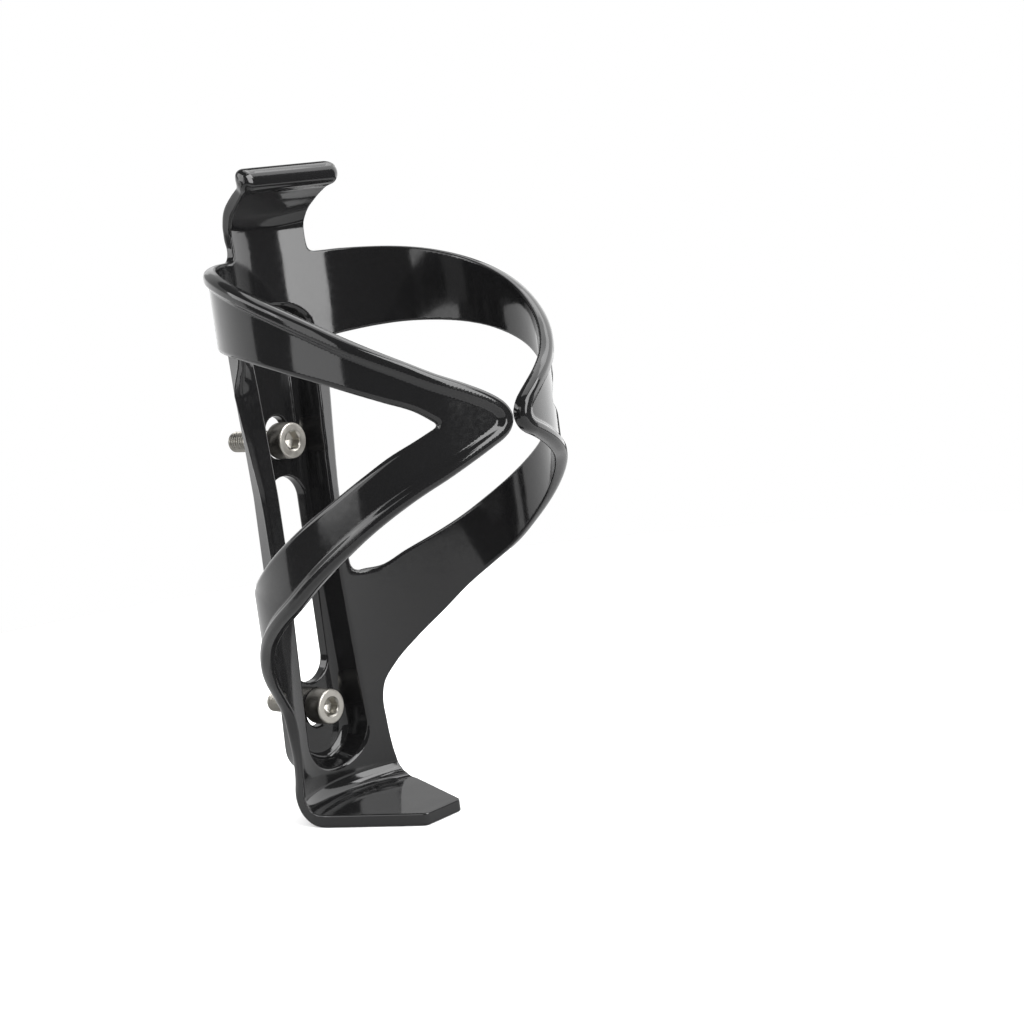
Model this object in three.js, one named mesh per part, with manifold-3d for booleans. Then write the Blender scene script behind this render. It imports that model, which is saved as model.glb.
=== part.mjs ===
// Bicycle water bottle cage: one black plastic moulding divided into its working
// regions, with two M5 socket head screws in its slots.
// Millimetres. +Z runs up along the bottle, -Y faces the bottle, +Y faces the bicycle.
// The origin is midway between the two frame bosses, on the rear mounting face.
import * as THREE from 'three';
import { mergeVertices } from 'three/addons/utils/BufferGeometryUtils.js';
import Module from 'manifold-3d';

const wasm = await Module();
wasm.setup();

// ---- driving dimensions ----
const BOSS_SPACING = 64;
const BORE_R = 34;
const BORE_Y = -42;
const WALL = 2;
const BEAD_OUT = 1;
const BEAD_HEIGHT = 3;
const SPINE_THICK = 2.2;
const SPINE_BOTTOM_Z = -48.6;
const FLOOR_Y = -2.9;
// openings through the channel floor: [half width, bottom, top]
const SLOTS = [[3.35, 27.7, 37.8], [3.35, -37.1, -28.2], [5.6, -26.2, 23.5]];
const ARM_END_DEG = 157.3;
const WINDOW_CORNER_DEG = 30;
const FOOT_TOP_Z = -52.9;
const FOOT_THICK = 2.8;
const FOOT_FILLET = 4;
const FOOT_FRONT_Y = -40.7;
const FOOT_HALF_TOP = 15.8;
const FOOT_HALF_BACK = 16.6;
const FOOT_HALF_FRONT = 5.8;
const TAB_THICK = 2.2;
const HEAD_R = 4.25;
const HEAD_LEN = 5;
const SHANK_R = 2.5;
const SHANK_LEN = 16;
const HEX_FLATS = 4;
const HEX_DEPTH = 2.5;
const SEAT_GAP = 0.1;

// edge heights of one arm against the angle from the open front:
// [degrees, lower edge, window lower edge, window upper edge, upper edge]
const ARM_EDGES = [
  [1.8, 35.0, 36.0, 36.0, 36.7],
  [2.6, 33.9, 36.1, 36.1, 37.8],
  [4, 32.8, 36.2, 36.2, 39.0],
  [7, 31.6, 36.4, 36.4, 40.5],
  [11, 30.6, 36.5, 36.5, 42.0],
  [20, 28.2, 36.7, 36.7, 44.8],
  [30, 25.4, 36.8, 36.8, 47.7],
  [38, 23.2, 34.6, 40.3, 50.4],
  [48, 19.9, 31.9, 43.0, 53.7],
  [58, 16.0, 28.4, 45.6, 57.1],
  [68, 11.6, 24.7, 48.1, 60.6],
  [79, 6.5, 20.7, 50.4, 64.1],
  [90, 1.2, 16.6, 52.4, 67.1],
  [102, -3.6, 12.2, 54.0, 69.8],
  [114, -8.6, 7.9, 55.0, 71.9],
  [126, -14.6, 4.3, 55.5, 73.3],
  [138, -20.6, 1.2, 55.4, 74.1],
  [148, -25.9, -1.4, 55.0, 74.5],
  [ARM_END_DEG, -31.5, -1.6, 54.6, 74.6],
];
const LOWER_STRAP_END_DEG = 160.6;

// half widths along the spine as [height, half width] pairs
const PLATE_HALF = [
  [-48.6, 15.8], [-46, 15.5], [-38, 14.4], [-32.1, 13.8], [-31.8, 11], [8, 11], [20, 11.2],
  [30, 11.9], [45, 13], [54.3, 13.4], [54.4, 12.8], [74.6, 12.8],
];
const TUB_FRONT_HALF = [
  [-38, 11.9], [-32, 11], [0, 10.7], [8, 10.8], [20, 11], [30, 11.7], [45, 12.8], [58, 12.2],
];
const TUB_REAR_HALF = [[-38, 8.3], [-20, 8], [20, 7.8], [30, 8.2], [45, 9], [58, 9.3]];
const CHANNEL_FRONT_HALF = [
  [-38, 9.9], [-20, 8.8], [0, 7.7], [20, 7.8], [30, 8.3], [45, 9.1], [58, 9.9],
];
const CHANNEL_FLOOR_HALF = [[-38, 7.6], [-20, 7], [0, 6.3], [20, 6.3], [45, 7.2], [58, 7.6]];

// tab mid-surface: [y, z, half width, how far it follows the bore's curve]
const TAB_ROWS = [
  [-6.9, 74.9, 12.6, 1],
  [-6.8, 77.2, 11.4, 1],
  [-7.0, 80.2, 11.3, 0.9],
  [-8.2, 82.4, 11.7, 0.7],
  [-13.2, 86.6, 12.5, 0.25],
  [-17.0, 89.6, 13.4, 0],
  [-18.3, 91.6, 14.0, 0],
  [-17.5, 93.5, 14.2, 0],
  [-15.9, 94.1, 13.8, 0],
];

// ---- mesh helpers ----
const rad = THREE.MathUtils.degToRad;

class Faces {
  constructor() {
    this.coords = [];
  }
  tri(a, b, c) {
    this.coords.push(...a, ...b, ...c);
  }
  quad(a, b, c, d) {
    this.tri(a, b, c);
    this.tri(a, c, d);
  }
  grid(rows) {
    for (let i = 0; i + 1 < rows.length; i += 1) {
      for (let j = 0; j + 1 < rows[i].length; j += 1) {
        this.quad(rows[i][j], rows[i][j + 1], rows[i + 1][j + 1], rows[i + 1][j]);
      }
    }
  }
  // closes a loop, keeping the loop's own direction
  cap(loop, flat) {
    const contour = flat.map(([u, v]) => new THREE.Vector2(u, v));
    const turn = Math.sign(THREE.ShapeUtils.area(contour));
    for (const ids of THREE.ShapeUtils.triangulateShape(contour, [])) {
      const same = Math.sign(THREE.ShapeUtils.area(ids.map((i) => contour[i]))) === turn;
      const [a, b, c] = same ? ids : [...ids].reverse();
      this.tri(loop[a], loop[b], loop[c]);
    }
  }
  geometry() {
    const geometry = new THREE.BufferGeometry();
    geometry.setAttribute('position', new THREE.Float32BufferAttribute(this.coords, 3));
    const merged = mergeVertices(geometry, 1e-4);
    return volume(merged) < 0 ? flipped(merged) : merged;
  }
}

function volume(geometry) {
  const position = geometry.attributes.position;
  const index = geometry.index.array;
  const [a, b, c] = [new THREE.Vector3(), new THREE.Vector3(), new THREE.Vector3()];
  let sum = 0;
  for (let i = 0; i < index.length; i += 3) {
    a.fromBufferAttribute(position, index[i]);
    b.fromBufferAttribute(position, index[i + 1]);
    c.fromBufferAttribute(position, index[i + 2]);
    sum += a.dot(b.cross(c)) / 6;
  }
  return sum;
}

function flipped(geometry) {
  const index = Array.from(geometry.index.array);
  for (let i = 0; i < index.length; i += 3) {
    [index[i], index[i + 1]] = [index[i + 1], index[i]];
  }
  geometry.setIndex(index);
  return geometry;
}

function slab(front, back) {
  const faces = new Faces();
  faces.grid(front);
  faces.grid(back.map((row) => [...row].reverse()));
  const last = front.length - 1;
  const edge = front[0].length - 1;
  for (let i = 0; i < last; i += 1) {
    faces.quad(front[i][0], front[i + 1][0], back[i + 1][0], back[i][0]);
    faces.quad(front[i + 1][edge], front[i][edge], back[i][edge], back[i + 1][edge]);
  }
  for (let j = 0; j < edge; j += 1) {
    faces.quad(front[0][j + 1], front[0][j], back[0][j], back[0][j + 1]);
    faces.quad(front[last][j], front[last][j + 1], back[last][j + 1], back[last][j]);
  }
  return faces.geometry();
}

function solid(geometry) {
  return new wasm.Manifold(new wasm.Mesh({
    numProp: 3,
    vertProperties: new Float32Array(geometry.attributes.position.array),
    triVerts: new Uint32Array(geometry.index.array),
  }));
}

function fromSolid(body) {
  const mesh = body.getMesh();
  const geometry = new THREE.BufferGeometry();
  geometry.setAttribute('position', new THREE.Float32BufferAttribute(mesh.vertProperties, 3));
  geometry.setIndex(Array.from(mesh.triVerts));
  return geometry;
}

function welded(geometry) {
  geometry.deleteAttribute('normal');
  geometry.deleteAttribute('uv');
  return mergeVertices(geometry, 1e-4);
}

// reads a table of [height, value] pairs at one height
function lookUp(table, z) {
  const last = table.length - 1;
  for (let i = 0; i < last; i += 1) {
    const [z0, v0] = table[i];
    const [z1, v1] = table[i + 1];
    if (z <= z1) {
      return THREE.MathUtils.lerp(v0, v1, THREE.MathUtils.clamp((z - z0) / (z1 - z0), 0, 1));
    }
  }
  return table[last][1];
}

// a slot outline in x and z with elliptical ends and a half width read from a table
function slotLoop(table, bottom, top, endBottom, endTop, steps, sides) {
  const loop = [];
  const high = top - endTop;
  const low = bottom + endBottom;
  for (let i = 0; i <= steps; i += 1) {
    const a = (Math.PI * i) / steps;
    loop.push([lookUp(table, high) * Math.cos(a), high + endTop * Math.sin(a)]);
  }
  for (let i = 1; i < sides; i += 1) {
    const z = THREE.MathUtils.lerp(high, low, i / sides);
    loop.push([-lookUp(table, z), z]);
  }
  for (let i = 0; i <= steps; i += 1) {
    const a = (Math.PI * i) / steps;
    loop.push([-lookUp(table, low) * Math.cos(a), low - endBottom * Math.sin(a)]);
  }
  for (let i = 1; i < sides; i += 1) {
    const z = THREE.MathUtils.lerp(low, high, i / sides);
    loop.push([lookUp(table, z), z]);
  }
  return loop;
}

// a tapered plug between two slot outlines at two depths
function plug(loopA, yA, loopB, yB) {
  const faces = new Faces();
  const ringA = loopA.map(([x, z]) => [x, yA, z]);
  const ringB = loopB.map(([x, z]) => [x, yB, z]);
  const count = ringA.length;
  for (let i = 0; i < count; i += 1) {
    const k = (i + 1) % count;
    faces.quad(ringA[i], ringA[k], ringB[k], ringB[i]);
  }
  faces.cap([...ringA].reverse(), [...loopA].reverse());
  faces.cap(ringB, loopB);
  return solid(faces.geometry());
}

// ---- shared shapes ----
function bulge(x) {
  return BORE_R - Math.sqrt(BORE_R * BORE_R - x * x);
}

function across(count, half) {
  return Array.from({ length: count + 1 }, (_, j) => half * ((2 * j) / count - 1));
}

function bore(radius, degrees, z, side) {
  const a = rad(degrees);
  return [side * radius * Math.sin(a), BORE_Y - radius * Math.cos(a), z];
}

const ramp = (z, from, to) => THREE.MathUtils.smoothstep(z, from, to);

// ---- spine: the back plate with its rearward channel, slots and band centre ----
function spineFace(x, z) {
  const free = ramp(z, -3, 8) * (1 - ramp(z, 44, 54));
  const rail = -9.6 + 0.22 * Math.max(Math.abs(x) - 8.3, 0);
  return THREE.MathUtils.lerp(-8 - bulge(x), rail, free);
}

function spineGeometry() {
  const rows = [];
  const back = [];
  const heights = [
    -48.6, -46, -41, -38, -32.1, -31.8, -20, -3, 2, 8, 20, 30, 38, 44, 49, 54.3, 54.4, 64, 74.6,
  ];
  for (const z of heights) {
    const face = across(8, lookUp(PLATE_HALF, z)).map((x) => [x, spineFace(x, z), z]);
    rows.push(face);
    back.push(face.map(([x, y]) => [x, y + SPINE_THICK, z]));
  }
  const plate = solid(slab(rows, back));
  const outer = plug(
    slotLoop(TUB_FRONT_HALF, -48.4, 66.2, 10.9, 8.5, 10, 8), -8.4,
    slotLoop(TUB_REAR_HALF, -46.4, 62.6, 8.4, 6.5, 10, 8), 0,
  );
  const widened = CHANNEL_FRONT_HALF.map(([z, half]) => [z, half + 1.6]);
  const inner = plug(
    slotLoop(widened, -49.2, 66.9, 11.2, 9.2, 10, 8), -14,
    slotLoop(CHANNEL_FLOOR_HALF, -44.8, 60.9, 6.8, 5.2, 10, 8), FLOOR_Y,
  );
  let body = plate.add(outer).subtract(inner);
  for (const [half, bottom, top] of SLOTS) {
    const loop = slotLoop([[0, half], [1, half]], bottom, top, half, half, 8, 1);
    body = body.subtract(plug(loop, -6, loop, 1));
  }
  return fromSolid(body);
}

// ---- foot: the plate's lower end, bent forward into the bottle shelf ----
function footGeometry() {
  const top = [];
  const bottom = [];
  const start = SPINE_BOTTOM_Z - 0.3;
  const bends = [0, 22.5, 45, 67.5, 90];
  const flats = [0.3, 0.65, 1];
  const outerR = FOOT_FILLET + FOOT_THICK;
  for (const deg of bends) {
    const a = rad(deg);
    const half = THREE.MathUtils.lerp(FOOT_HALF_TOP, FOOT_HALF_BACK, deg / 90);
    const inner = [];
    const outer = [];
    for (const x of across(8, half)) {
      const y = -8 - bulge(x) - FOOT_FILLET;
      const drop = start - FOOT_TOP_Z;
      inner.push([x, y + FOOT_FILLET * Math.cos(a), start - drop * Math.sin(a)]);
      outer.push([x, y + outerR * Math.cos(a), start - (drop + FOOT_THICK) * Math.sin(a)]);
    }
    top.push(inner);
    bottom.push(outer);
  }
  for (const t of flats) {
    const half = THREE.MathUtils.lerp(FOOT_HALF_BACK, FOOT_HALF_FRONT, t);
    const inner = [];
    const outer = [];
    for (const [j, x] of across(8, half).entries()) {
      const y = THREE.MathUtils.lerp(top[4][j][1], FOOT_FRONT_Y, t);
      inner.push([x, y, FOOT_TOP_Z]);
      outer.push([x, y, FOOT_TOP_Z - FOOT_THICK]);
    }
    top.push(inner);
    bottom.push(outer);
  }
  return slab(top, bottom);
}

// ---- top tab: the S-shaped clip above the band ----
function tabGeometry() {
  const front = [];
  const back = [];
  TAB_ROWS.forEach(([y, z, half, follow], i) => {
    const before = TAB_ROWS[Math.max(i - 1, 0)];
    const after = TAB_ROWS[Math.min(i + 1, TAB_ROWS.length - 1)];
    const along = new THREE.Vector2(after[0] - before[0], after[1] - before[1]).normalize();
    const [dy, dz] = i === 0 ? [-1, 0] : [-along.y, along.x];
    const mid = across(8, half).map((x) => [x, y - follow * bulge(x)]);
    const reach = TAB_THICK / 2;
    front.push(mid.map(([x, yy]) => [x, yy + reach * dy, z + reach * dz]));
    back.push(mid.map(([x, yy]) => [x, yy - reach * dy, z - reach * dz]));
  });
  return slab(front, back);
}

// ---- arm: a V of two straps that join at the front and wrap the bottle ----
function armGeometry(side) {
  const faces = new Faces();
  const inner = BORE_R;
  const outer = BORE_R + WALL;
  const bead = outer + BEAD_OUT;
  const at = (r, deg, z) => bore(r, deg, z, side);
  const columns = ARM_EDGES.map(([deg, low, gapLow, gapHigh, high]) => {
    const step = Math.min(BEAD_HEIGHT, (high - low) * 0.3);
    const lowDeg = deg === ARM_END_DEG ? LOWER_STRAP_END_DEG : deg;
    const rim = bead - 0.7 * BEAD_OUT * ramp(deg, 115, ARM_END_DEG);
    return {
      lowIn: [at(inner, lowDeg, low), at(inner, lowDeg, gapLow)],
      highIn: [at(inner, deg, gapHigh), at(inner, deg, high)],
      lowOut: [
        at(bead, lowDeg, low), at(bead, lowDeg, low + step),
        at(outer, lowDeg, low + step * 1.15), at(outer, lowDeg, gapLow),
      ],
      highOut: [
        at(outer, deg, gapHigh), at(outer, deg, high - step * 1.15),
        at(rim, deg, high - step), at(rim, deg, high),
      ],
      deg,
    };
  });
  for (let i = 0; i + 1 < columns.length; i += 1) {
    const [a, b] = [columns[i], columns[i + 1]];
    faces.grid([a.lowIn, b.lowIn]);
    faces.grid([a.highIn, b.highIn]);
    faces.grid([[...a.lowOut].reverse(), [...b.lowOut].reverse()]);
    faces.grid([[...a.highOut].reverse(), [...b.highOut].reverse()]);
    faces.quad(a.lowIn[0], b.lowIn[0], b.lowOut[0], a.lowOut[0]);
    faces.quad(b.highIn[1], a.highIn[1], a.highOut[3], b.highOut[3]);
    if (a.deg >= WINDOW_CORNER_DEG) {
      faces.quad(b.lowIn[1], a.lowIn[1], a.lowOut[3], b.lowOut[3]);
      faces.quad(a.highIn[0], b.highIn[0], b.highOut[0], a.highOut[0]);
    }
  }
  const radiusHeight = ([x, y, z]) => [Math.hypot(x, y - BORE_Y), z];
  const tip = columns[0];
  const tipLoop = [
    ...tip.lowIn, tip.highIn[1], ...[...tip.highOut].reverse(), ...[...tip.lowOut].reverse().slice(1),
  ];
  faces.cap([...tipLoop].reverse(), [...tipLoop].reverse().map(radiusHeight));
  const end = columns[columns.length - 1];
  for (const [inside, outside] of [[end.lowIn, end.lowOut], [end.highIn, end.highOut]]) {
    const loop = [...inside, ...[...outside].reverse()];
    faces.cap(loop, loop.map(radiusHeight));
  }
  return faces.geometry();
}

// ---- screw: socket head cap screw lying along +Y, its head in the channel ----
function screwGeometry() {
  const top = -HEAD_LEN;
  const profile = [
    [0, top], [HEAD_R - 0.5, top], [HEAD_R, top + 0.5], [HEAD_R, 0],
    [SHANK_R, 0], [SHANK_R, SHANK_LEN - 0.8], [SHANK_R - 0.8, SHANK_LEN], [0, SHANK_LEN],
  ].map(([r, y]) => new THREE.Vector2(r, y));
  const turned = solid(welded(new THREE.LatheGeometry(profile, 24)));
  const hex = new THREE.CylinderGeometry(
    HEX_FLATS / Math.sqrt(3), HEX_FLATS / Math.sqrt(3), HEX_DEPTH * 2, 6,
  );
  hex.translate(0, top, 0);
  return fromSolid(turned.subtract(solid(welded(hex))));
}

// ---- assembly ----
const plastic = new THREE.MeshStandardMaterial({ color: 0x0c0c0d, roughness: 0.16, metalness: 0 });
const steel = new THREE.MeshStandardMaterial({ color: 0xb9b6ae, roughness: 0.3, metalness: 1 });

const group = new THREE.Group();

function addNode(name, geometry, material) {
  const mesh = new THREE.Mesh(geometry, material);
  mesh.name = name;
  group.add(mesh);
  return mesh;
}

addNode('spine', spineGeometry(), plastic);
addNode('foot', footGeometry(), plastic);
addNode('top_tab', tabGeometry(), plastic);
addNode('left_arm', armGeometry(-1), plastic);
addNode('right_arm', armGeometry(1), plastic);
addNode('upper_screw', screwGeometry(), steel).position
  .set(0, FLOOR_Y - SEAT_GAP, BOSS_SPACING / 2);
addNode('lower_screw', screwGeometry(), steel).position
  .set(0, FLOOR_Y - SEAT_GAP, -BOSS_SPACING / 2);

export default group;
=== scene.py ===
"""The looks of a bicycle water bottle cage: one gloss black moulding and its two steel screws.

The moulding is one signed distance field, in millimetres. It is meshed once and then divided along the
lines where the moulding flexes, so the pieces meet with no step between them.
"""
import copy
import math

import bmesh
import bpy
import numpy as np
from mathutils import Matrix, Vector


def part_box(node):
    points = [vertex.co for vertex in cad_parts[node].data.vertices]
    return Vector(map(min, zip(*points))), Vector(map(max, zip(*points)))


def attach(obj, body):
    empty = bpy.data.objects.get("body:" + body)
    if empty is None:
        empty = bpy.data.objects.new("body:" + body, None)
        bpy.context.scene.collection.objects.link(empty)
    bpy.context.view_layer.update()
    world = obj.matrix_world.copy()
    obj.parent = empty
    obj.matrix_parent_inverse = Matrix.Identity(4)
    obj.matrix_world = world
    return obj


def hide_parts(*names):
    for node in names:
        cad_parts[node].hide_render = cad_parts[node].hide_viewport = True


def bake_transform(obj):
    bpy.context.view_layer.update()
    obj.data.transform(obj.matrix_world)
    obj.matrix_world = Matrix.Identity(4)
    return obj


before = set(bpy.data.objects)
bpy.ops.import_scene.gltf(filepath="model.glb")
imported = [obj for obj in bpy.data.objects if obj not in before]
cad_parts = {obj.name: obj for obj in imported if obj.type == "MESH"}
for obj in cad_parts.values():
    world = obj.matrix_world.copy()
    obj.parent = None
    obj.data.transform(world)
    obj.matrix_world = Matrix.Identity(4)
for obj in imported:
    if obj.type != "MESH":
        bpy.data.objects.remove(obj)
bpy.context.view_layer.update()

MM = 0.001

# ---- sizes in millimetres, most of them the same as the solids' ----
BORE_R = 34.0
BORE_Y = -42.0
WALL = 2.0
BEAD_OUT = 1.0
BEAD_HEIGHT = 3.0
FLOOR_Y = -2.9
SLOTS = [(3.35, 27.7, 37.8), (3.35, -37.1, -28.2), (5.6, -26.2, 23.5)]
ARM_EDGES = np.array([
    [1.8, 35.0, 36.0, 36.0, 36.7], [2.6, 33.9, 36.1, 36.1, 37.8], [4, 32.8, 36.2, 36.2, 39.0],
    [7, 31.6, 36.4, 36.4, 40.5], [11, 30.6, 36.5, 36.5, 42.0], [20, 28.2, 36.7, 36.7, 44.8],
    [30, 25.4, 36.8, 36.8, 47.7], [38, 23.2, 34.6, 40.3, 50.4], [48, 19.9, 31.9, 43.0, 53.7],
    [58, 16.0, 28.4, 45.6, 57.1], [68, 11.6, 24.7, 48.1, 60.6], [79, 6.5, 20.7, 50.4, 64.1],
    [90, 1.2, 16.6, 52.4, 67.1], [102, -3.6, 12.2, 54.0, 69.8], [114, -8.6, 7.9, 55.0, 71.9],
    [126, -14.6, 4.3, 55.5, 73.3], [138, -20.3, 1.2, 55.4, 74.1], [148, -25.6, -1.4, 55.0, 74.5],
    [157.3, -31.2, -1.6, 54.6, 74.6],
])
WINDOW_CORNER_DEG = 30
LOWER_SIDE_HALF = [
    (15.1, -29.9), (14.3, -33.6), (14.5, -38.8), (15.1, -46), (15.5, -48.6), (16.1, -53), (16.1, -62),
]
SPINE_SIDE_HALF = [(11, 8), (11.2, 20), (11.9, 30), (13, 45), (13.4, 54.5)]
TUB_FRONT_HALF = [
    [-40, 12.4], [-32, 11.6], [-20, 10.9], [0, 10.7], [8, 10.8], [20, 11], [30, 11.7], [45, 12.8], [58, 12.2],
]
TUB_REAR_HALF = [[-40, 9.5], [-30, 9.1], [-20, 8.4], [20, 7.8], [30, 8.2], [45, 9], [58, 9.3]]
CHANNEL_FRONT_HALF = [[-38, 11.5], [-20, 10.4], [0, 9.3], [20, 9.4], [30, 9.9], [45, 10.7], [58, 11.5]]
CHANNEL_FLOOR_HALF = [[-38, 7.6], [-20, 7], [0, 6.3], [20, 6.3], [45, 7.2], [58, 7.6]]
FOOT_TOP_Z = -53.1
FOOT_THICK = 2.9
FOOT_FILLET = 4.0
FOOT_FRONT_Y = -40.7
FOOT_HALF_BACK = 16.1
FOOT_HALF_FRONT = 5.8
FOOT_TAPER_Y = -15.9
TAB_ROWS = np.array([
    [-6.9, 74.9, 12.6], [-6.8, 77.2, 11.4], [-7.0, 81.8, 11.5], [-8.3, 84.0, 11.8],
    [-13.2, 87.8, 12.4], [-17.6, 90.6, 13.4], [-19.0, 92.0, 14.0],
])
TAB_THICK = 2.2
LIP_CENTRE = (-18.5, 91.95)
LIP_HALF = (14.1, 2.95, 2.1)
LIP_LEAN_DEG = 38


# ---- plane curves ----
def curve(points, step=0.2):
    """A smooth curve through the points, as a polyline of about that step."""
    p = np.asarray(points, float)
    h = np.hypot(*(p[1:] - p[:-1]).T)
    d = (p[1:] - p[:-1]) / h[:, None]
    m = np.vstack([d[:1], (d[:-1] * h[1:, None] + d[1:] * h[:-1, None]) / (h[1:] + h[:-1])[:, None], d[-1:]])
    out = []
    for i, length in enumerate(h):
        t = np.arange(0, 1, 1 / max(1, math.ceil(length / step)))[:, None]
        out.append((2 * t**3 - 3 * t**2 + 1) * p[i] + (t**3 - 2 * t**2 + t) * length * m[i]
                   + (3 * t**2 - 2 * t**3) * p[i + 1] + (t**3 - t**2) * length * m[i + 1])
    return np.vstack(out + [p[-1:]])


def trimmed(run, cut):
    """The run without its first cut millimetres."""
    along = np.concatenate([[0], np.cumsum(np.hypot(*(run[1:] - run[:-1]).T))])
    start = np.array([np.interp(cut, along, run[:, k]) for k in (0, 1)])
    return np.vstack([start, run[along > cut + 1e-6]])


def cornered(first, second, cut):
    """Two runs that share a corner, joined by a fillet that starts cut millimetres from it."""
    a = trimmed(first[::-1], cut)[::-1]
    b = trimmed(second, cut)
    t = np.linspace(0, 1, 9)[1:-1, None]
    return np.vstack([a, (1 - t)**2 * a[-1] + 2 * t * (1 - t) * first[-1] + t**2 * b[0], b])


def closed(run, cut):
    """A run that ends where it starts, with that corner rounded."""
    inner = trimmed(trimmed(run, cut)[::-1], cut)[::-1]
    t = np.linspace(0, 1, 9)[1:-1, None]
    return np.vstack([inner, (1 - t)**2 * inner[-1] + 2 * t * (1 - t) * run[0] + t**2 * inner[0]])


def slot_loop(table, bottom, top, end_bottom, end_top):
    """A slot outline with elliptical ends, its half width read from a table of [height, half width]."""
    table = np.array(table, float)
    a = np.linspace(0, math.pi, 25)
    high, low = top - end_top, bottom + end_bottom
    z = np.linspace(high, low, 60)[1:-1]
    half = np.interp(z, *table.T)
    upper, lower = np.interp([high, low], *table.T)
    return np.vstack([
        np.column_stack([upper * np.cos(a), high + end_top * np.sin(a)]),
        np.column_stack([-half, z]),
        np.column_stack([-lower * np.cos(a), low - end_bottom * np.sin(a)]),
        np.column_stack([half[::-1], z[::-1]]),
    ])


class Outline:
    """The signed distance to a closed loop, negative inside, sampled smoothly from a table."""

    def __init__(self, loop, low, high, step=0.3):
        self.low, self.step = np.array(low, float), step
        count = np.ceil((np.array(high) - self.low) / step).astype(int) + 1
        u = self.low[0] + step * np.arange(count[0])
        v = self.low[1] + step * np.arange(count[1])
        a, b = loop, np.roll(loop, -1, 0)
        e = b - a
        length2 = np.maximum((e**2).sum(1), 1e-12)
        self.table = np.empty((count[0], count[1]), np.float32)
        for i, x in enumerate(u):
            du, dv = x - a[:, 0], v[:, None] - a[:, 1]
            t = np.clip((du * e[:, 0] + dv * e[:, 1]) / length2, 0, 1)
            d2 = ((du - t * e[:, 0])**2 + (dv - t * e[:, 1])**2).min(1)
            crosses = (a[:, 1] > v[:, None]) != (b[:, 1] > v[:, None])
            slope = np.where(np.abs(e[:, 1]) > 1e-12, e[:, 1], 1e-12)
            inside = (crosses & (x < a[:, 0] + dv * e[:, 0] / slope)).sum(1) % 2 == 1
            self.table[i] = np.sqrt(d2) * np.where(inside, -1, 1)

    def __call__(self, u, v):
        n = self.table.shape
        gu = np.clip((u - self.low[0]) / self.step, 1, n[0] - 2.001)
        gv = np.clip((v - self.low[1]) / self.step, 1, n[1] - 2.001)
        iu, iv = gu.astype(np.int32), gv.astype(np.int32)
        wu, wv = spline_weights(gu - iu), spline_weights(gv - iv)
        flat, base, total = self.table.ravel(), (iu - 1) * n[1] + iv - 1, 0
        for i in range(4):
            row = base + i * n[1]
            total = total + wu[i] * sum(wv[j] * flat[row + j] for j in range(4))
        return total


def softened(outline, radius):
    """The same outline with the creases of its distance smoothed over that radius."""
    taps = np.arange(-3 * radius, 3 * radius + 1e-9, outline.step)
    weights = np.exp(-0.5 * (taps / radius)**2)
    weights = weights / weights.sum()
    soft = copy.copy(outline)
    for _ in range(2):
        table = np.pad(soft.table, ((len(taps) // 2,) * 2, (0, 0)), mode="reflect", reflect_type="odd")
        soft.table = sum(w * table[i:i + len(soft.table)] for i, w in enumerate(weights)).T
    soft.table = np.ascontiguousarray(soft.table, np.float32)
    return soft


def spline_weights(t):
    t2, t3 = t * t, t * t * t
    return (-0.5 * t + t2 - 0.5 * t3, 1 - 2.5 * t2 + 1.5 * t3, 0.5 * t + 2 * t2 - 1.5 * t3, 0.5 * (t3 - t2))


# ---- field helpers ----
def ramp(v, start, end):
    t = np.clip((v - start) / (end - start), 0, 1)
    return t * t * (3 - 2 * t)


def mix(a, b, t):
    return a + (b - a) * t


def meet(a, b, r):
    """Where both shapes are, with the edge between them rounded."""
    return np.minimum(np.maximum(a, b), -r) + np.hypot(np.maximum(a + r, 0), np.maximum(b + r, 0))


def join(a, b, r):
    """Where either shape is, with a fillet between them."""
    return -meet(-a, -b, r)


def wrap(x):
    """Distance round the bore from its rearmost line, for a distance x to the side."""
    return BORE_R * np.arcsin(np.minimum(np.abs(x), 33.5) / BORE_R)


def bulge(x):
    return BORE_R - np.sqrt(BORE_R**2 - np.minimum(np.abs(x), 33.0)**2)


# ---- outlines on the unrolled wall: distance round the bore, height ----
around = BORE_R * np.radians(180 - ARM_EDGES[:, 0])
lower_edge, window_low, window_high, upper_edge = (
    np.column_stack([around, ARM_EDGES[:, k]]) for k in (1, 2, 3, 4))
lower_side = np.array([(wrap(x), z) for x, z in LOWER_SIDE_HALF])
spine_side = np.array([(wrap(x), z) for x, z in SPINE_SIDE_HALF])

tab_line = curve(TAB_ROWS[:, :2], 0.25)
tab_along = TAB_ROWS[0, 1] + np.concatenate([[0], np.cumsum(np.hypot(*(tab_line[1:] - tab_line[:-1]).T))])
tab_rows_along = np.array([tab_along[np.argmin(np.hypot(*(tab_line - row[:2]).T))] for row in TAB_ROWS])
tab_side = np.column_stack([wrap(TAB_ROWS[2:, 2]), tab_rows_along[2:]])

neck = (wrap(11.3), 74.7)
tab_edge = curve(np.vstack([[neck], tab_side, [tab_side[-1] + (0, 8)]]))
arm_loop = curve(np.vstack([lower_side[::-1], lower_edge[-2::-1], upper_edge[:-1]]))
outer_run = cornered(np.vstack([arm_loop, curve(np.vstack([upper_edge[-2:], [neck]]))]), tab_edge, 1.8)
outer_loop = np.vstack([outer_run, [(-30, tab_edge[-1, 1]), (-30, lower_side[-1, 1])]])

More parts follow.
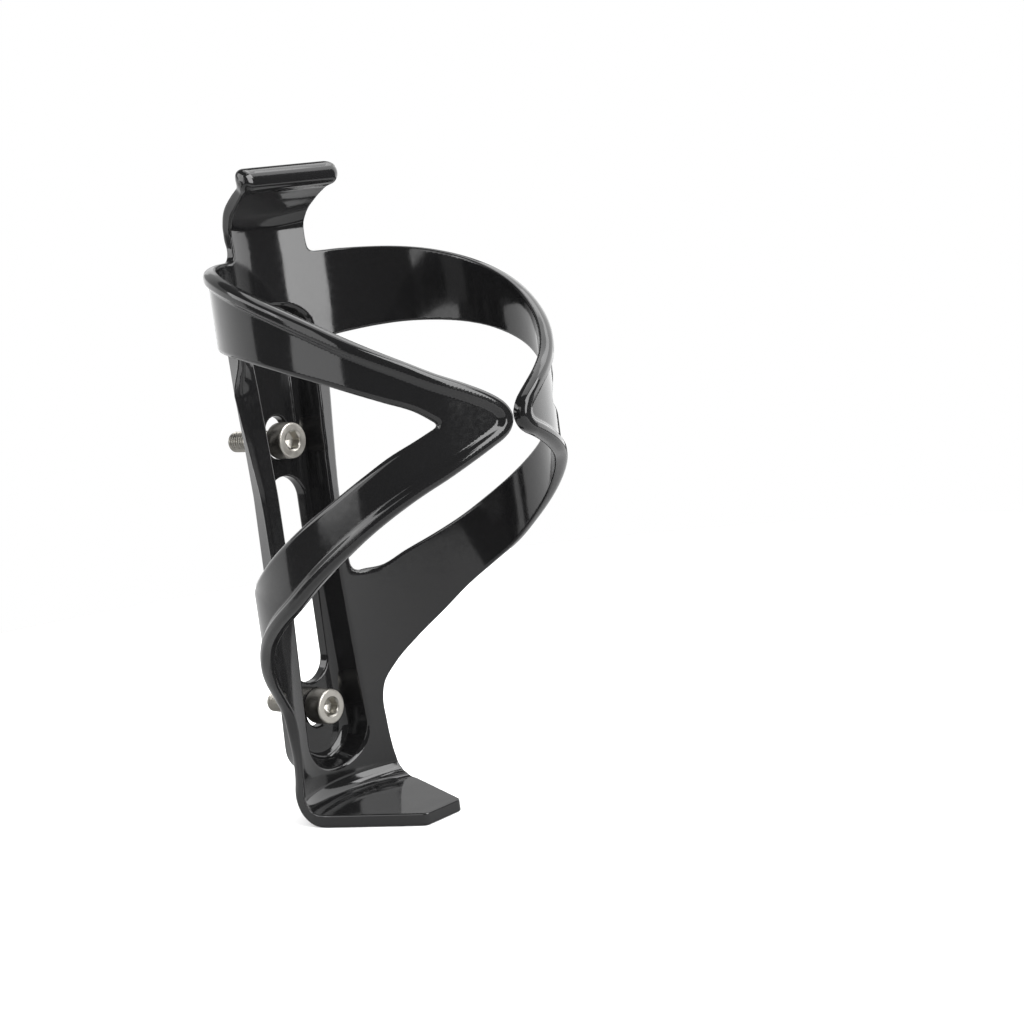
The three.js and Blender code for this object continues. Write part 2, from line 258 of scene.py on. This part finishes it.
rear_corner = ARM_EDGES[:, 0] >= WINDOW_CORNER_DEG
window_floor = curve(np.vstack([window_low[rear_corner], [(wrap(10.9), -1.8)]]))
window_side = curve(np.vstack([[(wrap(10.9), -1.8)], spine_side]))
window_roof = curve(np.vstack([spine_side[-1:], window_high[rear_corner][::-1][1:]]))
window_run = cornered(cornered(window_floor, window_side, 3.0), window_roof, 1.4)
window_loop = closed(window_run, 1.4)

OUTER = Outline(outer_loop, (-3, -62), (112, 104))
BEAD_LINE = softened(OUTER, 1.2)
WINDOW = Outline(window_loop, (-3, -12), (112, 66))
TUB_FRONT = Outline(slot_loop(TUB_FRONT_HALF, -49.4, 66.2, 9.9, 8.5), (-1, -56), (24, 76))
TUB_REAR = Outline(slot_loop(TUB_REAR_HALF, -48.0, 62.6, 7.2, 6.5), (-1, -56), (24, 76))
POCKET_FRONT = Outline(slot_loop(CHANNEL_FRONT_HALF, -49.2, 66.9, 11.2, 9.2), (-1, -56), (24, 76))
POCKET_FLOOR = Outline(slot_loop(CHANNEL_FLOOR_HALF, -44.8, 60.9, 6.8, 5.2), (-1, -56), (24, 76))


def tab_place(y, z):
    """How far a point is behind the tab's front face, and how far up the tab it lies."""
    best = np.full(y.shape, 1e9)
    depth, along = np.zeros(y.shape), np.zeros(y.shape)
    for i, (a, b) in enumerate(zip(tab_line[:-1], tab_line[1:])):
        e = b - a
        length = math.hypot(*e)
        e = e / length
        dy, dz = y - a[0], z - a[1]
        first = -30.0 if i == 0 else 0.0
        t = np.clip(dy * e[0] + dz * e[1], first, length)
        oy, oz = dy - t * e[0], dz - t * e[1]
        d2 = oy * oy + oz * oz
        nearer = d2 < best
        best = np.where(nearer, d2, best)
        side = np.where(oy * e[1] - oz * e[0] < 0, -1, 1)
        depth = np.where(nearer, side * np.sqrt(d2), depth)
        along = np.where(nearer, tab_along[i] + t, along)
    return depth + TAB_THICK / 2, along


def foot_plan(x, y):
    """Signed distance to the foot's outline seen from above."""
    run = np.array([FOOT_HALF_FRONT - FOOT_HALF_BACK, FOOT_FRONT_Y - FOOT_TAPER_Y])
    run = run / np.hypot(*run)
    side = -(x - FOOT_HALF_BACK) * run[1] + (y - FOOT_TAPER_Y) * run[0]
    return meet(meet(x - FOOT_HALF_BACK, side, 1.2), FOOT_FRONT_Y - y, 0.9)


def moulding(x, y, z):
    """Signed distance, near enough, to the whole moulding's surface."""
    x = np.abs(x)
    radius = np.hypot(x, y - BORE_Y)
    angle = np.degrees(np.arctan2(x, BORE_Y - y))
    high = ramp(z, 75, 78)
    ends = np.maximum(high, ramp(-z, 33, 42)) * ramp(y, -54, -46)
    c = mix(BORE_R * np.radians(180 - angle), wrap(x), ends)
    near_spine = 1 - ramp(c, 14, 20)
    free = ramp(z, -3, 8) * (1 - ramp(z, 44, 54)) * near_spine
    depth = mix(radius - BORE_R, y + 9.6 - 0.22 * np.maximum(x - 8.3, 0), free)
    height = z.copy()
    top = (z > 73.5) & (x < 17)
    if top.any():
        follow = np.interp(z[top], [77.2, 81.0, 83.5, 87.0, 90.0], [1, 1.0, 0.75, 0.3, 0])
        tab_depth, along = tab_place(y[top] + follow * bulge(x[top]), z[top])
        share = ramp(z[top], 74.2, 77) * (1 - ramp(x[top], 14.5, 16.5))
        depth[top] = mix(depth[top], tab_depth, share)
        height[top] = mix(height[top], along, share)

    outer = OUTER(c, height)
    rear = ramp(angle, 115, 157.3) * ramp(z, 20, 40)
    rim = (1 - 0.3 * rear) * (1 - ramp(z, 40, 50) * (1 - ramp(c, 10, 16))) * (1 - ramp(-z, 47.5, 53))
    inward = -BEAD_LINE(c, height)
    crown = np.clip((inward - BEAD_HEIGHT / 2) / (BEAD_HEIGHT / 2 + 0.4), -1, 0)
    lift = (1 - crown**4) * (1 - ramp(inward, BEAD_HEIGHT - 0.9, BEAD_HEIGHT + 0.6))
    thick = WALL + 0.2 * near_spine + 0.6 * ramp(-z, 44, 53) + BEAD_OUT * rim * lift
    thick = thick + 0.5 * ramp(z, 76, 80) * (1 - ramp(z, 88, 91))
    edge = np.maximum(outer, -WINDOW(c, height))
    low = z < -46
    edge = np.where(low, np.maximum(edge, foot_plan(x, y)), edge)
    behind = meet(depth - thick, FOOT_TOP_Z - FOOT_THICK - z, FOOT_FILLET + FOOT_THICK - 0.2)
    before = meet(depth, FOOT_TOP_Z - z, FOOT_FILLET)
    crisp = ramp(-z, 46, 54)
    front_edge = meet(edge, -before, mix(0.55, 0.35, crisp))
    rear_edge = meet(edge, behind, mix(0.6 + 0.8 * rim, 0.35, crisp))
    body = np.maximum(front_edge, rear_edge)

    core = (x < 20) & (y > -20) & (z > -56) & (z < 76)
    if core.any():
        cx, cy, cz = x[core], y[core], z[core]
        share = np.clip((cy + 8.4) / 8.4, -0.3, 1.2)
        side = 0.945 * mix(TUB_FRONT(cx, cz), TUB_REAR(cx, cz), share)
        tub = np.maximum(meet(side, cy, 0.5), 0.9 - depth[core])
        share = np.clip((cy + 14) / 11.1, -0.3, 1.2)
        side = 0.945 * mix(POCKET_FRONT(cx, cz), POCKET_FLOOR(cx, cz), share)
        pocket = meet(side, cy - FLOOR_Y, 1.6)
        solid = meet(join(body[core], tub, 0.8), -pocket, 0.6)
        for half, bottom, upper in SLOTS:
            slot = np.hypot(cx, cz - np.clip(cz, bottom + half, upper - half)) - half
            solid = meet(solid, -slot, 0.45)
        body[core] = solid

    if top.any():
        half, long, short = LIP_HALF
        ty, tz = y[top] - LIP_CENTRE[0], z[top] - LIP_CENTRE[1]
        lean = math.radians(LIP_LEAN_DEG)
        u, v = math.sin(lean) * ty + math.cos(lean) * tz, math.sin(lean) * tz - math.cos(lean) * ty
        k = np.hypot(u / long, v / short)
        lip = k * (k - 1) / np.maximum(np.hypot(u / long**2, v / short**2), 0.05)
        body[top] = join(body[top], meet(lip, x[top] - half, 1.9), 1.5)
    return body


# ---- meshing ----
def slope(p, reach=0.02):
    """The field's gradient at the points."""
    x, y, z = p.T
    return np.column_stack([
        moulding(x + reach, y, z) - moulding(x - reach, y, z),
        moulding(x, y + reach, z) - moulding(x, y - reach, z),
        moulding(x, y, z + reach) - moulding(x, y, z - reach),
    ]) / (2 * reach)


def field_grid(step, low, high, block=4):
    """The field on a grid over the half where x is positive, worked out only near the surface."""
    blocks = np.ceil((high - low) / (step * block)).astype(int)
    size = step * block
    centre = [low[k] + size * (np.arange(blocks[k]) + 0.5) for k in range(3)]
    cx, cy, cz = (a.ravel() for a in np.meshgrid(*centre, indexing="ij"))
    coarse = moulding(cx, cy, cz).reshape(blocks)
    values = np.repeat(np.repeat(np.repeat(np.sign(coarse), block, 0), block, 1), block, 2) * 9.0
    values = np.pad(values, ((0, 1), (0, 1), (0, 1)), mode="edge").astype(np.float32)
    near = np.argwhere(np.abs(coarse) < size * 0.87 * 1.25 + 0.5)
    offset = np.stack(np.meshgrid(*[np.arange(block + 1)] * 3, indexing="ij"), -1).reshape(-1, 3)
    for part in np.array_split(near, max(1, len(near) // 3000)):
        ids = (part[:, None] * block + offset[None]).reshape(-1, 3)
        x, y, z = (low[k] + step * ids[:, k] for k in range(3))
        values[ids[:, 0], ids[:, 1], ids[:, 2]] = moulding(x, y, z)
    return values


def surface_net(values, low, step):
    """Quads round every place where the grid changes sign, one point per mixed cell."""
    inside = values < 0
    shape = np.array(values.shape) - 1
    cells, places, quads = [], [], []
    for axis in range(3):
        order = [axis] + [k for k in range(3) if k != axis]
        back = np.argsort(order)
        a, s = values.transpose(order), inside.transpose(order)
        i, j, k = np.argwhere(s[1:] != s[:-1]).T
        t = a[i, j, k] / (a[i, j, k] - a[i + 1, j, k])
        place = np.column_stack([i + t, j, k])[:, back]
        steps = ((-1, -1), (0, -1), (0, 0), (-1, 0))
        ring = [np.column_stack([i, j + dj, k + dk])[:, back] for dj, dk in steps]
        quad = np.stack([np.ravel_multi_index(tuple(c.T), tuple(shape)) for c in ring], 1)
        flip = ~s[i, j, k] if axis != 1 else s[i, j, k]
        cells.append(quad.ravel())
        places.append(np.repeat(place, 4, 0))
        quad = quad.copy()
        quad[flip] = quad[flip][:, ::-1]
        quads.append(quad)
    used, index = np.unique(np.concatenate(cells), return_inverse=True)
    places = np.concatenate(places)
    count = np.bincount(index)
    points = np.column_stack([np.bincount(index, places[:, k]) / count for k in range(3)])
    faces = np.searchsorted(used, np.vstack(quads))
    return points * step + low, faces


def moulding_mesh(step):
    low = np.array([-step * 4, -80.0, -57.0])
    high = np.array([39.0, 1.6, 97.0])
    half = field_grid(step, low, high)
    values = np.concatenate([half[:4:-1], half[4:]], 0)
    start = np.array([-(len(half) - 5) * step, low[1], low[2]])
    points, faces = surface_net(values, start, step)
    for _ in range(3):
        value = moulding(*points.T)
        g = slope(points)
        move = -(value / np.maximum((g * g).sum(1), 0.05))[:, None] * g
        length = np.linalg.norm(move, axis=1)[:, None]
        points += move * np.minimum(1, step * 0.6 / np.maximum(length, 1e-9))
    g = slope(points, reach=0.06)
    return points, faces, g / np.maximum(np.linalg.norm(g, axis=1)[:, None], 1e-9)


# ---- Blender objects ----
def add_mesh(name, material, points, faces, normals=None):
    """A mesh object from points in millimetres and faces that all have the same number of corners."""
    faces = np.asarray(faces)
    mesh = bpy.data.meshes.new(name)
    mesh.vertices.add(len(points))
    mesh.vertices.foreach_set("co", (np.asarray(points) * MM).astype(np.float32).ravel())
    mesh.loops.add(faces.size)
    mesh.loops.foreach_set("vertex_index", faces.astype(np.int32).ravel())
    mesh.polygons.add(len(faces))
    mesh.polygons.foreach_set("loop_start", np.arange(0, faces.size, faces.shape[1], dtype=np.int32))
    mesh.update(calc_edges=True)
    mesh.shade_smooth()
    if normals is not None:
        mesh.normals_split_custom_set_from_vertices(normals)
    mesh.materials.append(material)
    obj = bpy.data.objects.new(name, mesh)
    bpy.context.scene.collection.objects.link(obj)
    return obj


def part_of(chosen, points, faces, normals):
    """The chosen faces with only the points that they use."""
    used, index = np.unique(faces[chosen], return_inverse=True)
    return points[used], index.reshape(-1, 4), normals[used]


# ---- materials ----
def new_material(name):
    material = bpy.data.materials.new(name)
    material.use_nodes = True
    return material, material.node_tree.nodes, material.node_tree.links


def noise(nodes, links, scale, detail=2.0, rough=0.5, stretch=(1, 1, 1)):
    """A noise texture in the object's own space, with its scale in cycles per metre."""
    place = nodes.new("ShaderNodeTexCoord")
    mapping = nodes.new("ShaderNodeMapping")
    mapping.inputs["Scale"].default_value = stretch
    texture = nodes.new("ShaderNodeTexNoise")
    texture.inputs["Scale"].default_value = scale
    texture.inputs["Detail"].default_value = detail
    texture.inputs["Roughness"].default_value = rough
    links.new(place.outputs["Object"], mapping.inputs["Vector"])
    links.new(mapping.outputs["Vector"], texture.inputs["Vector"])
    return texture.outputs["Fac"]


def spread(nodes, links, value, low, high, start=0.3, end=0.7):
    """A noise value mapped to a range."""
    node = nodes.new("ShaderNodeMapRange")
    node.inputs["From Min"].default_value = start
    node.inputs["From Max"].default_value = end
    node.inputs["To Min"].default_value = low
    node.inputs["To Max"].default_value = high
    links.new(value, node.inputs["Value"])
    return node.outputs["Result"]


def tint(nodes, links, value, dark, light):
    node = nodes.new("ShaderNodeMix")
    node.data_type = "RGBA"
    node.inputs["A"].default_value = (*dark, 1)
    node.inputs["B"].default_value = (*light, 1)
    links.new(value, node.inputs["Factor"])
    return node.outputs["Result"]


def bumps(nodes, links, shader, layers):
    """Bump layers, each a height output with its depth in metres."""
    before = None
    for height, depth in layers:
        node = nodes.new("ShaderNodeBump")
        node.inputs["Strength"].default_value = 1.0
        node.inputs["Distance"].default_value = depth
        links.new(height, node.inputs["Height"])
        if before:
            links.new(before, node.inputs["Normal"])
        before = node.outputs["Normal"]
    links.new(before, shader.inputs["Normal"])


def gloss_plastic():
    material, nodes, links = new_material("gloss_black_plastic")
    shader = nodes["Principled BSDF"]
    patches = noise(nodes, links, 60, 3)
    specks = noise(nodes, links, 900, 2)
    black = tint(nodes, links, patches, (0.0048, 0.0048, 0.0050), (0.0068, 0.0068, 0.0071))
    links.new(black, shader.inputs["Base Color"])
    links.new(spread(nodes, links, specks, 0.07, 0.12), shader.inputs["Roughness"])
    shader.inputs["IOR"].default_value = 1.5
    flow = noise(nodes, links, 110, 1.0, 0.4)
    peel = noise(nodes, links, 700, 1.0, 0.4)
    bumps(nodes, links, shader, [(flow, 0.00008), (peel, 0.000002)])
    return material


def satin_steel():
    material, nodes, links = new_material("satin_steel")
    shader = nodes["Principled BSDF"]
    patches = noise(nodes, links, 350, 3)
    turning = noise(nodes, links, 500, 2, 0.6, (1, 14, 1))
    bright = tint(nodes, links, patches, (0.36, 0.345, 0.315), (0.46, 0.445, 0.41))
    links.new(bright, shader.inputs["Base Color"])
    links.new(spread(nodes, links, turning, 0.30, 0.46), shader.inputs["Roughness"])
    shader.inputs["Metallic"].default_value = 1.0
    bumps(nodes, links, shader, [(patches, 0.00002), (turning, 0.000008)])
    return material


def pale_floor():
    material, nodes, links = new_material("pale_floor")
    shader = nodes["Principled BSDF"]
    path = nodes.new("ShaderNodeLightPath")
    # Painted shade on the reflection: the floor is 0.87 to the camera and to diffuse rays but only 0.34 in
    # glossy rays, so its reflection in the moulding is painted darker than the floor is.
    seen = tint(nodes, links, path.outputs["Is Glossy Ray"], (0.87, 0.87, 0.87), (0.34, 0.34, 0.34))
    links.new(seen, shader.inputs["Base Color"])
    shader.inputs["Roughness"].default_value = 0.9
    shader.inputs["Specular IOR Level"].default_value = 0.1
    return material


plastic = gloss_plastic()
steel = satin_steel()

# ---- the moulding ----
MESH_STEP = 0.37
TAB_SPLIT_Z = 74.9
TAB_SPLIT_X = 16
ARM_SPLIT_X = 13.0
ARM_SPLIT_Y = -40.0
ARM_SPLIT_Z = -33.0

points, faces, normals = moulding_mesh(MESH_STEP)
middle = points[faces].mean(1)
in_tab = (middle[:, 2] > TAB_SPLIT_Z) & (np.abs(middle[:, 0]) < TAB_SPLIT_X)
beside = (np.abs(middle[:, 0]) > ARM_SPLIT_X) | (middle[:, 1] < ARM_SPLIT_Y)
in_arm = beside & (middle[:, 2] > ARM_SPLIT_Z) & ~in_tab

frame_part = add_mesh("spine_and_foot", plastic, *part_of(~in_tab & ~in_arm, points, faces, normals))
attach(frame_part, "frame_side")
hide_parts("spine", "foot")

tab_part = add_mesh("top_clip", plastic, *part_of(in_tab, points, faces, normals))
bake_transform(tab_part)
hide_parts("top_tab")

for side, sign in (("left", -1), ("right", 1)):
    chosen = in_arm & (middle[:, 0] * sign > 0)
    arm = add_mesh(side + "_strap", plastic, *part_of(chosen, points, faces, normals))
    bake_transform(arm)
    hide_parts(side + "_arm")

# ---- the screws ----
HEAD_R = 4.25
HEAD_LEN = 5.0
HEAD_EDGE_R = 0.55
SHANK_LEN = 16.0
PITCH = 0.8
THREAD_R = (2.02, 2.48)
HEX_FLATS = 4.0
HEX_DEPTH = 2.5
AROUND = 96
CREASE_DEG = 38


def lathe_rows(profile):
    """Rings of points round +Y, one for each [radius, y] pair."""
    a = 2 * np.pi * np.arange(AROUND) / AROUND
    return [np.column_stack([r * np.sin(a), np.full(AROUND, y), r * np.cos(a)]) for r, y in profile]


def hex_ring(radius_flat, y):
    """A ring on a hexagon with slightly rounded corners."""
    a = 2 * np.pi * np.arange(AROUND) / AROUND
    to_flat = (a + np.pi / 6) % (np.pi / 3) - np.pi / 6
    r = np.minimum(radius_flat / np.cos(to_flat), radius_flat * 1.135)
    return np.column_stack([r * np.sin(a), np.full(AROUND, y), r * np.cos(a)])


def thread_rings():
    """The screw thread: a sharp-bottomed, flat-topped helix that runs out at the chamfered tip."""
    rings = []
    a = 2 * np.pi * np.arange(AROUND) / AROUND
    for y in np.arange(0, SHANK_LEN + 1e-6, PITCH / 12):
        phase = (y / PITCH - a / (2 * np.pi)) % 1
        rise = np.clip((0.5 - np.abs(phase - 0.5)) * 2 * 1.35 - 0.12, 0, 1)
        r = THREAD_R[0] + (THREAD_R[1] - THREAD_R[0]) * rise
        start = np.clip(y / (1.2 * PITCH), 0, 1)
        r = np.minimum(r, mix(2.12, 2.6, start) if y < 1.2 * PITCH else 2.6)
        r = np.minimum(r, 1.75 + (SHANK_LEN - y) * 0.85)
        rings.append(np.column_stack([r * np.sin(a), np.full(AROUND, y), r * np.cos(a)]))
    return rings


def screw_mesh():
    top = -HEAD_LEN
    corner = [(HEAD_R - HEAD_EDGE_R * (1 - math.sin(t)), top + HEAD_EDGE_R * (1 - math.cos(t)))
              for t in np.linspace(0, math.pi / 2, 7)]
    inner = [hex_ring(0.02, top + HEX_DEPTH + 0.9), hex_ring(1.0, top + HEX_DEPTH + 0.45)]
    inner += [hex_ring(HEX_FLATS / 2 - 0.03, top + HEX_DEPTH)]
    inner += [hex_ring(HEX_FLATS / 2, top + HEX_DEPTH - 0.05)]
    inner += [hex_ring(HEX_FLATS / 2, top + 0.35), hex_ring(HEX_FLATS / 2 + 0.03, top + 0.28)]
    rim = lathe_rows([(2.46, top + 0.06), (2.52, top)] + corner)
    skirt = lathe_rows([
        (HEAD_R, top + 1.6), (HEAD_R, top + 3.2), (HEAD_R, -0.3), (HEAD_R - 0.07, -0.1), (HEAD_R - 0.25, 0),
        (3.2, 0), (2.3, 0),
    ])
    tip = lathe_rows([(1.6, SHANK_LEN), (0.02, SHANK_LEN)])
    rings = inner + rim + skirt + thread_rings() + tip
    rings = np.vstack(rings)
    rows = len(rings) // AROUND
    i = np.arange((rows - 1) * AROUND)
    j = (i // AROUND) * AROUND + (i + 1) % AROUND
    faces = np.column_stack([i, j, j + AROUND, i + AROUND])
    return rings, faces


def close_ends(obj):
    """Closes the pinholes at the two ends and shades creases sharply."""
    data = bmesh.new()
    data.from_mesh(obj.data)
    bmesh.ops.holes_fill(data, edges=[e for e in data.edges if e.is_boundary], sides=0)
    bmesh.ops.recalc_face_normals(data, faces=data.faces)
    for e in data.edges:
        e.smooth = e.calc_face_angle(0) < math.radians(CREASE_DEG)
    data.to_mesh(obj.data)
    data.free()


screw_points, screw_faces = screw_mesh()
for place in ("upper", "lower"):
    low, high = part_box(place + "_screw")
    seat = Vector((low.x + high.x, 0, low.z + high.z)) / 2
    seat.y = low.y + HEAD_LEN * MM
    screw = add_mesh(place + "_socket_screw", steel, screw_points + np.array(seat) / MM, screw_faces)
    close_ends(screw)
    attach(screw, "screw_" + place)
    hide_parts(place + "_screw")

# ---- camera ----
AZIMUTH, ELEVATION, ROLL = (math.radians(a) for a in (-47.72, 8.483, -7.365))
LENS = 72.2
DISTANCE, SIDEWAYS, UPWARD = 487.2, 52.74, 14.72
back = Vector((
    math.sin(AZIMUTH) * math.cos(ELEVATION), -math.cos(AZIMUTH) * math.cos(ELEVATION), math.sin(ELEVATION)))
level = Vector((math.cos(AZIMUTH), math.sin(AZIMUTH), 0))
upright = back.cross(level)
right = math.cos(ROLL) * level + math.sin(ROLL) * upright
up = math.cos(ROLL) * upright - math.sin(ROLL) * level

camera_data = bpy.data.cameras.new("camera")
camera_data.lens = LENS
camera_data.sensor_width = 36
camera_data.clip_start = 0.01
camera = bpy.data.objects.new("camera", camera_data)
bpy.context.scene.collection.objects.link(camera)
camera.matrix_world = Matrix.Translation((back * DISTANCE + right * SIDEWAYS + up * UPWARD) * MM) @ Matrix((
    right, up, back)).transposed().to_4x4()
bpy.context.scene.camera = camera

# ---- floor, light and background ----
FOOT_BOTTOM_Z = FOOT_TOP_Z - FOOT_THICK
FLOOR_GAP = 0.1
FLOOR_RADIUS = 360.0
LIT_POINT = (0, -38, 20)


def add_floor():
    """A round pale table top, its middle just under the foot."""
    ring, turn = 24, 96
    r = FLOOR_RADIUS * np.linspace(1 / ring, 1, ring)
    a = 2 * np.pi * np.arange(turn) / turn
    rim = np.column_stack([(r[:, None] * np.cos(a)).ravel(), (r[:, None] * np.sin(a)).ravel() + BORE_Y])
    middle = np.tile([[0.0, BORE_Y]], (turn, 1))
    flat = np.vstack([middle + 0.01 * np.column_stack([np.cos(a), np.sin(a)]), rim])
    i = np.arange(ring * turn)
    j = (i // turn) * turn + (i + 1) % turn
    table = np.column_stack([flat, np.full(len(flat), FOOT_BOTTOM_Z - FLOOR_GAP)])
    floor = add_mesh("floor", pale_floor(), table, np.column_stack([i, i + turn, j + turn, j]))


def add_light(name, azimuth, elevation, wide, tall, brightness, distance=650.0):
    """A soft box that faces the cage, placed and sized by angles in degrees seen from the cage's middle."""
    a, e = math.radians(azimuth), math.radians(elevation)
    away = Vector((math.sin(a) * math.cos(e), -math.cos(a) * math.cos(e), math.sin(e)))
    data = bpy.data.lights.new(name, "AREA")
    data.shape = "RECTANGLE"
    data.size = 2 * distance * math.tan(math.radians(wide / 2)) * MM
    data.size_y = 2 * distance * math.tan(math.radians(tall / 2)) * MM
    data.energy = brightness * 4 * data.size * data.size_y
    light = bpy.data.objects.new(name, data)
    bpy.context.scene.collection.objects.link(light)
    turn = away.to_track_quat("Z", "Y").to_matrix().to_4x4()
    light.matrix_world = Matrix.Translation((Vector(LIT_POINT) + away * distance) * MM) @ turn
    light.visible_camera = False


def add_background(seen, mirrored):
    """A pale background, dimmer in the gloss than it is to the eye."""
    world = bpy.data.worlds.new("studio")
    bpy.context.scene.world = world
    world.use_nodes = True
    nodes, links = world.node_tree.nodes, world.node_tree.links
    nodes.clear()
    pale, dim = nodes.new("ShaderNodeBackground"), nodes.new("ShaderNodeBackground")
    pale.inputs["Strength"].default_value = seen
    dim.inputs["Strength"].default_value = mirrored
    for node in (pale, dim):
        node.inputs["Color"].default_value = (1, 1, 1, 1)
    path, choose, out = (nodes.new("ShaderNode" + kind) for kind in ("LightPath", "MixShader", "OutputWorld"))
    links.new(path.outputs["Is Glossy Ray"], choose.inputs["Fac"])
    links.new(pale.outputs["Background"], choose.inputs[1])
    links.new(dim.outputs["Background"], choose.inputs[2])
    links.new(choose.outputs["Shader"], out.inputs["Surface"])


add_floor()
add_light("front_box", 11, 15.5, 36, 34, 5.4)
add_light("high_front_box", 20, 48, 44, 30, 5.6)
add_light("right_box", 88, 27, 55, 72, 1.7)
add_light("left_box", -92, 18, 36, 52, 1.7)
add_light("high_left_box", -128, 27, 44, 34, 2.8)
add_light("rear_screen", -176, 0, 70, 28, 0.85)
add_light("high_rear_screen", 175, 29, 66, 30, 0.33)
add_light("far_screen", 132, 12, 40, 30, 0.4)
add_light("top_box", 110, 72, 40, 40, 1.5)
add_background(1.0, 0.10)
bpy.context.scene.view_settings.view_transform = "Standard"
